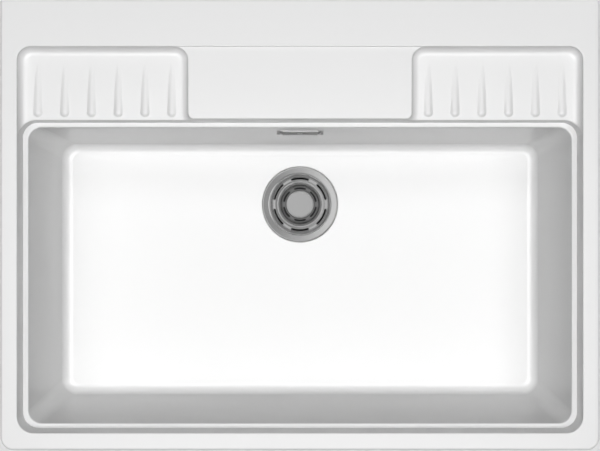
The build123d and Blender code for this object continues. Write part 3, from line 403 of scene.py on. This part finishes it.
def build_bare_clay_group():
    """1 where the casting isn't glazed: under the bowl and deck, inside the skirts, its feet."""
    tree, given, result = new_group(
        "bare_clay_mask",
        [
            ("Place", "NodeSocketVector", None),
            ("Edge Noise", "NodeSocketFloat", 0.5),
        ],
        [("Mask", "NodeSocketFloat")],
    )
    parts = add_node(tree, "ShaderNodeSeparateXYZ", Vector=given.outputs["Place"])
    x, y, z = parts.outputs["X"], parts.outputs["Y"], parts.outputs["Z"]
    x = maths(tree, "ABSOLUTE", x)
    wobble = maths(tree, "MULTIPLY_ADD", given.outputs["Edge Noise"], EDGE_WOBBLE, -EDGE_WOBBLE / 2)
    # Half way through the bowl's leaning walls.
    rise = maths(tree, "SUBTRACT", z, FLOOR_Z)
    wall_x = maths(tree, "MULTIPLY_ADD", rise, WALL_LEAN_X, WALL_FOOT_X)
    wall_front = maths(tree, "MULTIPLY_ADD", rise, FRONT_LEAN, FRONT_FOOT_Y)
    wall_rear = maths(tree, "MULTIPLY_ADD", rise, REAR_LEAN, REAR_FOOT_Y)
    # Under the floor's own level nothing near the walls is glazed.
    deep = maths(tree, "LESS_THAN", z, BELOW_FLOOR_Z)
    deep = maths(tree, "MULTIPLY", deep, BELOW_FLOOR_REACH)
    wall_x = maths(tree, "SUBTRACT", wall_x, deep)
    wall_front = maths(tree, "ADD", wall_front, deep)
    wall_rear = maths(tree, "SUBTRACT", wall_rear, deep)
    beside = maths(tree, "GREATER_THAN", x, wall_x)
    before = maths(tree, "LESS_THAN", y, wall_front)
    behind = maths(tree, "GREATER_THAN", y, wall_rear)
    low = maths(tree, "LESS_THAN", z, UNDERSIDE_Z)
    round_bowl = maths(tree, "MAXIMUM", maths(tree, "MAXIMUM", beside, before), low)
    round_bowl = maths(tree, "MULTIPLY", round_bowl, maths(tree, "LESS_THAN", z, WALL_TOP_Z))
    under_deck = maths(tree, "MULTIPLY", behind, maths(tree, "LESS_THAN", z, DECK_UNDERSIDE_Z))
    hidden = maths(tree, "MAXIMUM", round_bowl, under_deck)
    # Not on the outside of the skirts, nor round their corners.
    middle = (SINK_LOW.y + SINK_HIGH.y) / 2
    side_y = maths(tree, "ABSOLUTE", maths(tree, "SUBTRACT", y, middle))
    beyond_x = maths(tree, "SUBTRACT", x, SINK_HIGH.x - SKIRT_CORNER)
    beyond_y = maths(tree, "SUBTRACT", side_y, SINK_HIGH.y - middle - SKIRT_CORNER)
    beyond_x = maths(tree, "MAXIMUM", beyond_x, 0.0)
    beyond_y = maths(tree, "MAXIMUM", beyond_y, 0.0)
    beyond = maths(tree, "MULTIPLY", beyond_x, beyond_x)
    beyond = maths(tree, "SQRT", maths(tree, "MULTIPLY_ADD", beyond_y, beyond_y, beyond))
    inside = maths(tree, "LESS_THAN", beyond, SKIRT_CORNER - GLAZED_SKIN)
    foot = maths(tree, "LESS_THAN", z, maths(tree, "ADD", wobble, FOOT_Z))
    mask = maths(tree, "MAXIMUM", maths(tree, "MULTIPLY", hidden, inside), foot)
    tree.links.new(mask, result.inputs["Mask"])


# ---------------------------------------------------------------- materials


def glaze_material(finish):
    """White glaze over fireclay; the clay is bare where the glaze isn't sprayed."""
    name = "white_glaze"
    material, tree, shader, place = new_material(name, finish.glaze_colour, finish.glaze_roughness)
    waves = use_group(
        tree, "surface_waviness", Place=place, Swell_Scale=9.0, Peel_Scale=240.0, Peel_Share=0.02
    )
    cloud = waves.outputs["Cloud"]
    clay = use_group(tree, "bare_clay_mask", Place=place, Edge_Noise=cloud).outputs["Mask"]
    grain = add_node(tree, "ShaderNodeTexNoise", Vector=place, Scale=700.0, Detail=6.0)
    dark_clay = tuple(0.82 * value for value in finish.bisque_colour)
    clay_colour = blend_colours(tree, grain.outputs[0], dark_clay, finish.bisque_colour)
    pale = tuple(0.99 * value for value in finish.glaze_colour)
    glaze_colour = blend_colours(tree, cloud, pale, finish.glaze_colour)
    colour = blend_colours(tree, clay, glaze_colour, clay_colour)
    tree.links.new(colour, shader.inputs["Base Color"])
    glaze_rough = finish.glaze_roughness
    rough = maths(tree, "MULTIPLY_ADD", clay, CLAY_ROUGHNESS - glaze_rough, glaze_rough)
    tree.links.new(rough, shader.inputs["Roughness"])
    shader.inputs["Specular IOR Level"].default_value = finish.glaze_gloss
    clay_height = maths(tree, "MULTIPLY", grain.outputs[0], clay)
    height = maths(tree, "MULTIPLY_ADD", clay_height, 0.6, waves.outputs["Height"])
    bump(tree, shader, height, 0.0004)
    return material


def steel_material(name, finish, rings):
    """Pressed stainless steel with fine turned rings; it is rougher inside the cup, where its colour
    is darkened as painted shade.
    """
    steel = finish.steel_colour
    material, tree, shader, place = new_material(name, steel, finish.steel_roughness, 1.0)
    turned = use_group(tree, "turned_rings", Place=place, Rings_Per_Metre=rings)
    height = add_node(tree, "ShaderNodeSeparateXYZ", Vector=place).outputs["Z"]
    # Painted shade: below the flange the steel's colour darkens to a share of itself, and it also
    # grows rougher.
    dull_and_shaded = ease(tree, height, POLISH_LOW_Z, DULL_SHADED_HIGH_Z)
    shaded_steel = tuple(CUP_SHADE_SHARE * value for value in steel)
    tree.links.new(blend_colours(tree, dull_and_shaded, steel, shaded_steel), shader.inputs["Base Color"])
    polished = finish.steel_roughness - 0.04
    rough = maths(tree, "MULTIPLY_ADD", turned.outputs["Streak"], 0.08, polished)
    tree.links.new(maths(tree, "MULTIPLY_ADD", dull_and_shaded, 0.4, rough), shader.inputs["Roughness"])
    bump(tree, shader, turned.outputs["Streak"], 0.00002)
    return material


def cover_material(name, finish):
    """Dull steel of the overflow's cover, with a painted highlight along the top of its hood."""
    material, tree, shader, place = new_material(name, finish.cover_colour, 0.42, 1.0)
    stretched = add_node(tree, "ShaderNodeMapping", Vector=place)
    stretched.inputs["Scale"].default_value = (30.0, 1800.0, 1800.0)
    lines = add_node(tree, "ShaderNodeTexNoise", Vector=stretched.outputs[0], Scale=1.0, Detail=3.0)
    height = add_node(tree, "ShaderNodeSeparateXYZ", Vector=place).outputs["Z"]
    # Painted highlight: the top edge of the hood turns to a bright steel colour.
    highlight_band = ease(tree, height, COVER_HIGH.z - HIGHLIGHT_FROM, COVER_HIGH.z - HIGHLIGHT_TO)
    highlight_colour = tuple(1.15 * value for value in finish.steel_colour)
    colour = blend_colours(tree, highlight_band, finish.cover_colour, highlight_colour)
    tree.links.new(colour, shader.inputs["Base Color"])
    rough = maths(tree, "MULTIPLY_ADD", lines.outputs[0], 0.16, 0.34)
    tree.links.new(rough, shader.inputs["Roughness"])
    bump(tree, shader, lines.outputs[0], 0.00001)
    return material


def screw_material(name, finish):
    """Plain bright steel of the screws."""
    colour = tuple(0.85 * value for value in finish.steel_colour)
    material, tree, shader, place = new_material(name, colour, 0.3, 1.0)
    grain = add_node(tree, "ShaderNodeTexNoise", Vector=place, Scale=900.0, Detail=3.0)
    rough = maths(tree, "MULTIPLY_ADD", grain.outputs[0], 0.16, 0.22)
    tree.links.new(rough, shader.inputs["Roughness"])
    return material


def moulded_material(name, colour, roughness, peel):
    """Injection-moulded plastic, with the faint grain of its mould."""
    material, tree, shader, place = new_material(name, colour, roughness)
    waves = use_group(
        tree, "surface_waviness", Place=place, Swell_Scale=60.0, Peel_Scale=peel, Peel_Share=0.5
    )
    cloud = waves.outputs["Cloud"]
    dim = tuple(0.93 * value for value in colour)
    tree.links.new(blend_colours(tree, cloud, dim, colour), shader.inputs["Base Color"])
    rough = maths(tree, "MULTIPLY_ADD", cloud, 0.14, roughness - 0.07)
    tree.links.new(rough, shader.inputs["Roughness"])
    bump(tree, shader, waves.outputs["Height"], 0.00008)
    return material


def rubber_material(name):
    """Dull black rubber with a trace of talc."""
    colour = (0.030, 0.030, 0.031)
    material, tree, shader, place = new_material(name, colour, 0.68)
    waves = use_group(
        tree, "surface_waviness", Place=place, Swell_Scale=120.0, Peel_Scale=2400.0, Peel_Share=0.8
    )
    talc = (0.085, 0.085, 0.083)
    dusted = blend_colours(tree, waves.outputs["Cloud"], colour, talc)
    tree.links.new(dusted, shader.inputs["Base Color"])
    bump(tree, shader, waves.outputs["Height"], 0.00012)
    return material


def brass_material(name):
    """Turned brass of the thread inserts."""
    material, tree, shader, place = new_material(name, (0.72, 0.53, 0.24), 0.3, 1.0)
    turned = use_group(tree, "turned_rings", Place=place, Rings_Per_Metre=4000.0)
    rough = maths(tree, "MULTIPLY_ADD", turned.outputs["Streak"], 0.2, 0.2)
    tree.links.new(rough, shader.inputs["Roughness"])
    bump(tree, shader, turned.outputs["Streak"], 0.00004)
    return material


def finish_nodes(material, *names):
    """Puts a material on CAD nodes."""
    for name in names:
        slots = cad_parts[name].data.materials
        slots.clear()
        slots.append(material)


# ---------------------------------------------------------------- threads


def wind_thread(name, radius, length):
    """A helical thread round the Z axis, from z = 0 up, with flat crests; returns the object."""
    bpy.ops.object.select_all(action="DESELECT")
    bpy.ops.mesh.primitive_plane_add(size=1.0)
    thread = bpy.context.object
    thread.name = name
    foot = THREAD_FOOT_SHARE * THREAD_PITCH
    root = radius - THREAD_ROOT
    depth = THREAD_RISE + THREAD_ROOT
    bpy.ops.object.mode_set(mode="EDIT")
    bpy.ops.transform.rotate(value=pi / 2, orient_axis="X", center_override=(0, 0, 0))
    bpy.ops.transform.resize(value=(depth, 1.0, foot), center_override=(0, 0, 0))
    bpy.ops.transform.translate(value=(root + depth / 2, 0.0, foot / 2))
    bpy.ops.object.mode_set(mode="OBJECT")
    # Narrow the crest.
    for vertex in thread.data.vertices:
        vertex.select = vertex.co.x > radius
    bpy.ops.object.mode_set(mode="EDIT")
    bpy.ops.mesh.select_mode(type="VERT")
    narrowing = (1.0, 1.0, THREAD_CREST_SHARE)
    bpy.ops.transform.resize(value=narrowing, center_override=(0, 0, foot / 2))
    bpy.ops.object.mode_set(mode="OBJECT")
    winding = thread.modifiers.new("winding", "SCREW")
    winding.axis = "Z"
    winding.screw_offset = THREAD_PITCH
    winding.iterations = int(length / THREAD_PITCH)
    winding.steps = THREAD_STEPS
    winding.render_steps = THREAD_STEPS
    winding.use_smooth_shade = False
    winding.use_normal_calculate = True
    bpy.ops.object.modifier_apply(modifier=winding.name)
    return thread


def place_thread(thread, origin, direction):
    """Moves a wound thread's mesh to its place; the object stays at the origin."""
    turn = Vector((0, 0, 1)).rotation_difference(Vector(direction)).to_matrix().to_4x4()
    thread.data.transform(Matrix.Translation(origin) @ turn)
    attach(thread, "sink")


# ---------------------------------------------------------------- operators


class SINK_OT_shared_groups(bpy.types.Operator):
    """Builds the shader groups that the materials share"""

    bl_idname = "sink.shared_groups"
    bl_label = "Shared groups"

    def execute(self, context):
        build_waviness_group()
        build_turned_group()
        build_bare_clay_group()
        return {"FINISHED"}


class SINK_OT_glaze(bpy.types.Operator):
    """Glazes the fireclay body"""

    bl_idname = "sink.glaze"
    bl_label = "Glaze"

    def execute(self, context):
        finish_nodes(glaze_material(context.scene.sink_finish), "sink_body")
        return {"FINISHED"}


class SINK_OT_steel(bpy.types.Operator):
    """Finishes the pressed steel, the screws and the brass inserts"""

    bl_idname = "sink.steel"
    bl_label = "Steel"

    def execute(self, context):
        finish = context.scene.sink_finish
        turned = steel_material("turned_steel", finish, 2200.0)
        finish_nodes(turned, "waste_flange", "strainer_basket", "strainer_knob")
        finish_nodes(cover_material("cover_steel", finish), "overflow_cover")
        finish_nodes(screw_material("screw_steel", finish), "overflow_screw", "clamp_screw")
        finish_nodes(brass_material("insert_brass"), "thread_insert", "overflow_insert")
        return {"FINISHED"}


class SINK_OT_plastics(bpy.types.Operator):
    """Finishes the plastic and rubber of the waste and the overflow"""

    bl_idname = "sink.plastics"
    bl_label = "Plastics"

    def execute(self, context):
        white = moulded_material("white_polypropylene", (0.76, 0.76, 0.75), 0.42, 900.0)
        black = moulded_material("black_polypropylene", (0.035, 0.035, 0.037), 0.5, 1200.0)
        natural = moulded_material("natural_nylon", (0.62, 0.61, 0.56), 0.38, 900.0)
        finish_nodes(white, "waste_body", "overflow_pipe")
        finish_nodes(black, "overflow_body", "upper_union_nut", "lower_union_nut")
        finish_nodes(black, "strainer_stem", "plug_disc")
        finish_nodes(natural, "stem_collet")
        rubber = rubber_material("black_rubber")
        finish_nodes(rubber, "flange_seal", "waste_gasket", "overflow_gasket", "plug_seal")
        finish_nodes(rubber, "upper_cone_washer", "lower_cone_washer")
        return {"FINISHED"}


class SINK_OT_tail_thread(bpy.types.Operator):
    """Winds the thread on the waste's tail, which the trap screws on to"""

    bl_idname = "sink.tail_thread"
    bl_label = "Tail thread"

    def execute(self, context):
        tail = wind_thread("tail_thread", TAIL_RADIUS, TAIL_LENGTH)
        place_thread(tail, (DRAIN_CENTRE.x, DRAIN_CENTRE.y, BODY_LOW.z + TAIL_START), (0, 0, 1))
        tail.data.materials.append(bpy.data.materials["white_polypropylene"])
        return {"FINISHED"}


class SINK_OT_port_threads(bpy.types.Operator):
    """Winds the threads on the two ports that the overflow pipe's nuts screw on to"""

    bl_idname = "sink.port_threads"
    bl_label = "Port threads"

    def execute(self, context):
        pipe_y = PIPE_HIGH.y - PIPE_RADIUS
        upper = wind_thread("upper_port_thread", PORT_RADIUS, UPPER_PORT_LENGTH)
        place_thread(upper, (0.0, pipe_y, UPPER_PORT_Z), (0, 0, 1))
        upper.data.materials.append(bpy.data.materials["black_polypropylene"])
        lower = wind_thread("lower_port_thread", PORT_RADIUS, LOWER_PORT_LENGTH)
        place_thread(lower, (0.0, LOWER_PORT_Y, PIPE_LOW.z + PIPE_RADIUS), (0, -1, 0))
        lower.data.materials.append(bpy.data.materials["white_polypropylene"])
        return {"FINISHED"}


class SINK_OT_stage(bpy.types.Operator):
    """Sets the floor, the lights and the camera of the photograph"""

    bl_idname = "sink.stage"
    bl_label = "Stage"

    def execute(self, context):
        stage = context.scene.sink_stage
        build_floor(stage)
        build_world(context.scene, stage)
        for name, place, side, share in LAMPS:
            build_lamp(context.scene, name, place, (side, side), share * stage.lamp_power)
        glazed = bpy.data.collections.new("glazed_surfaces")
        glazed.objects.link(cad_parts["sink_body"])
        for name, sides, share in PANELS:
            panel = build_lamp(context.scene, name, PANEL_PLACE, sides, share * stage.panel_power)
            panel.visible_glossy = True
            panel.visible_diffuse = False
            panel.light_linking.receiver_collection = glazed
        build_camera(context.scene)
        context.scene.view_settings.view_transform = "Standard"
        # With the light tree, lights of which some have their own receivers exceed their sum.
        context.scene.cycles.use_light_tree = False
        return {"FINISHED"}


def build_floor(stage):
    """A wide pale floor just under the lowest piece."""
    bpy.ops.mesh.primitive_plane_add(size=14.0, location=(0, 0, cad_low.z - stage.floor_gap))
    floor = bpy.context.object
    floor.name = "studio_floor"
    material, tree, shader, place = new_material("pale_floor", (0.80, 0.80, 0.80), 0.7)
    cloud = add_node(tree, "ShaderNodeTexNoise", Vector=place, Scale=1.5, Detail=2.0)
    mottled = blend_colours(tree, cloud.outputs[0], (0.79, 0.79, 0.79), (0.81, 0.81, 0.81))
    tree.links.new(mottled, shader.inputs["Base Color"])
    floor.data.materials.append(material)


def build_world(scene, stage):
    """Even light for the surfaces, white behind the sink, and a room for the steel to mirror."""
    world = bpy.data.worlds.new("studio")
    scene.world = world
    world.use_nodes = True
    tree = world.node_tree
    background = tree.nodes["Background"]
    ray = tree.nodes.new("ShaderNodeLightPath")
    direction = tree.nodes.new("ShaderNodeTexCoord").outputs["Generated"]
    parts = add_node(tree, "ShaderNodeSeparateXYZ", Vector=direction)
    across = maths(tree, "MULTIPLY_ADD", parts.outputs["X"], 0.5, 0.5)
    room = add_node(tree, "ShaderNodeValToRGB", Fac=across)
    stops = room.color_ramp.elements
    while len(stops) < len(MIRRORED_ROOM):
        stops.new(0.5)
    for stop, (place, grey) in zip(stops, MIRRORED_ROOM):
        stop.position = place
        stop.color = (grey, grey, grey, 1.0)
    far = ease(tree, maths(tree, "ABSOLUTE", parts.outputs["Y"]), 0.35, 0.9, 1.0, 0.45)
    room_level = maths(tree, "MULTIPLY", room.outputs["Color"], far)
    glossy, through = ray.outputs["Is Glossy Ray"], ray.outputs["Is Transmission Ray"]
    mirrored = maths(tree, "MAXIMUM", glossy, through)
    seen = ray.outputs["Is Camera Ray"]
    lit = maths(tree, "SUBTRACT", 1.0, maths(tree, "MAXIMUM", seen, mirrored))
    level = maths(tree, "MULTIPLY_ADD", lit, stage.room_light, seen)
    level = maths(tree, "MULTIPLY_ADD", mirrored, room_level, level)
    tree.links.new(level, background.inputs["Strength"])
    background.inputs["Color"].default_value = (1.0, 1.0, 1.0, 1.0)


def build_lamp(scene, name, place, sides, power):
    """One area lamp over the rim, turned towards the sink; the surfaces don't mirror it."""
    data = bpy.data.lights.new(name, "AREA")
    data.shape = "RECTANGLE"
    data.size, data.size_y = sides
    data.energy = power
    lamp = bpy.data.objects.new(name, data)
    scene.collection.objects.link(lamp)
    lamp.location = (place[0], place[1], RIM_Z + place[2])
    if Vector(place).to_2d().length > 1.0:
        away = lamp.location - Vector((0.0, 0.0, RIM_Z))
        lamp.rotation_euler = away.to_track_quat("Z", "Y").to_euler()
    lamp.visible_glossy = False
    return lamp


def build_camera(scene):
    """The photograph's camera: straight down, shifted so that its axis meets the sink at AXIS_Y."""
    data = bpy.data.cameras.new("photo_camera")
    data.sensor_width = SENSOR_MM
    sink_width = SINK_HIGH.x - SINK_LOW.x
    data.lens = SENSOR_MM * CAMERA_ABOVE_RIM / sink_width
    data.shift_x = (PICTURE_WIDTH_PX / 2 - AXIS_PX[0]) / PICTURE_WIDTH_PX
    data.shift_y = (AXIS_PX[1] - PICTURE_HEIGHT_PX / 2) / PICTURE_WIDTH_PX
    camera = bpy.data.objects.new("photo_camera", data)
    scene.collection.objects.link(camera)
    camera.location = (0.0, AXIS_Y, RIM_Z + CAMERA_ABOVE_RIM)
    scene.camera = camera


class SINK_PT_build(bpy.types.Panel):
    """Lists the steps that finish the sink"""

    bl_label = "Fireclay sink"
    bl_idname = "SINK_PT_build"
    bl_space_type = "VIEW_3D"
    bl_region_type = "UI"
    bl_category = "Sink"

    def draw(self, context):
        for step in STEPS:
            self.layout.operator(step.bl_idname)
        for group in (context.scene.sink_finish, context.scene.sink_stage):
            for name in group.__annotations__:
                self.layout.prop(group, name)


STEPS = (
    SINK_OT_shared_groups,
    SINK_OT_glaze,
    SINK_OT_steel,
    SINK_OT_plastics,
    SINK_OT_tail_thread,
    SINK_OT_port_threads,
    SINK_OT_stage,
)
CLASSES = (SinkFinishSettings, SinkStageSettings, *STEPS, SINK_PT_build)


def register():
    for cls in CLASSES:
        bpy.utils.register_class(cls)
    bpy.types.Scene.sink_finish = bpy.props.PointerProperty(type=SinkFinishSettings)
    bpy.types.Scene.sink_stage = bpy.props.PointerProperty(type=SinkStageSettings)


def unregister():
    del bpy.types.Scene.sink_stage
    del bpy.types.Scene.sink_finish
    for cls in reversed(CLASSES):
        bpy.utils.unregister_class(cls)


def main():
    register()
    bpy.ops.object.select_all(action="DESELECT")
    bpy.ops.sink.shared_groups()
    bpy.ops.sink.glaze()
    bpy.ops.sink.steel()
    bpy.ops.sink.plastics()
    bpy.ops.sink.tail_thread()
    bpy.ops.sink.port_threads()
    bpy.ops.sink.stage()


if __name__ == "__main__":
    main()
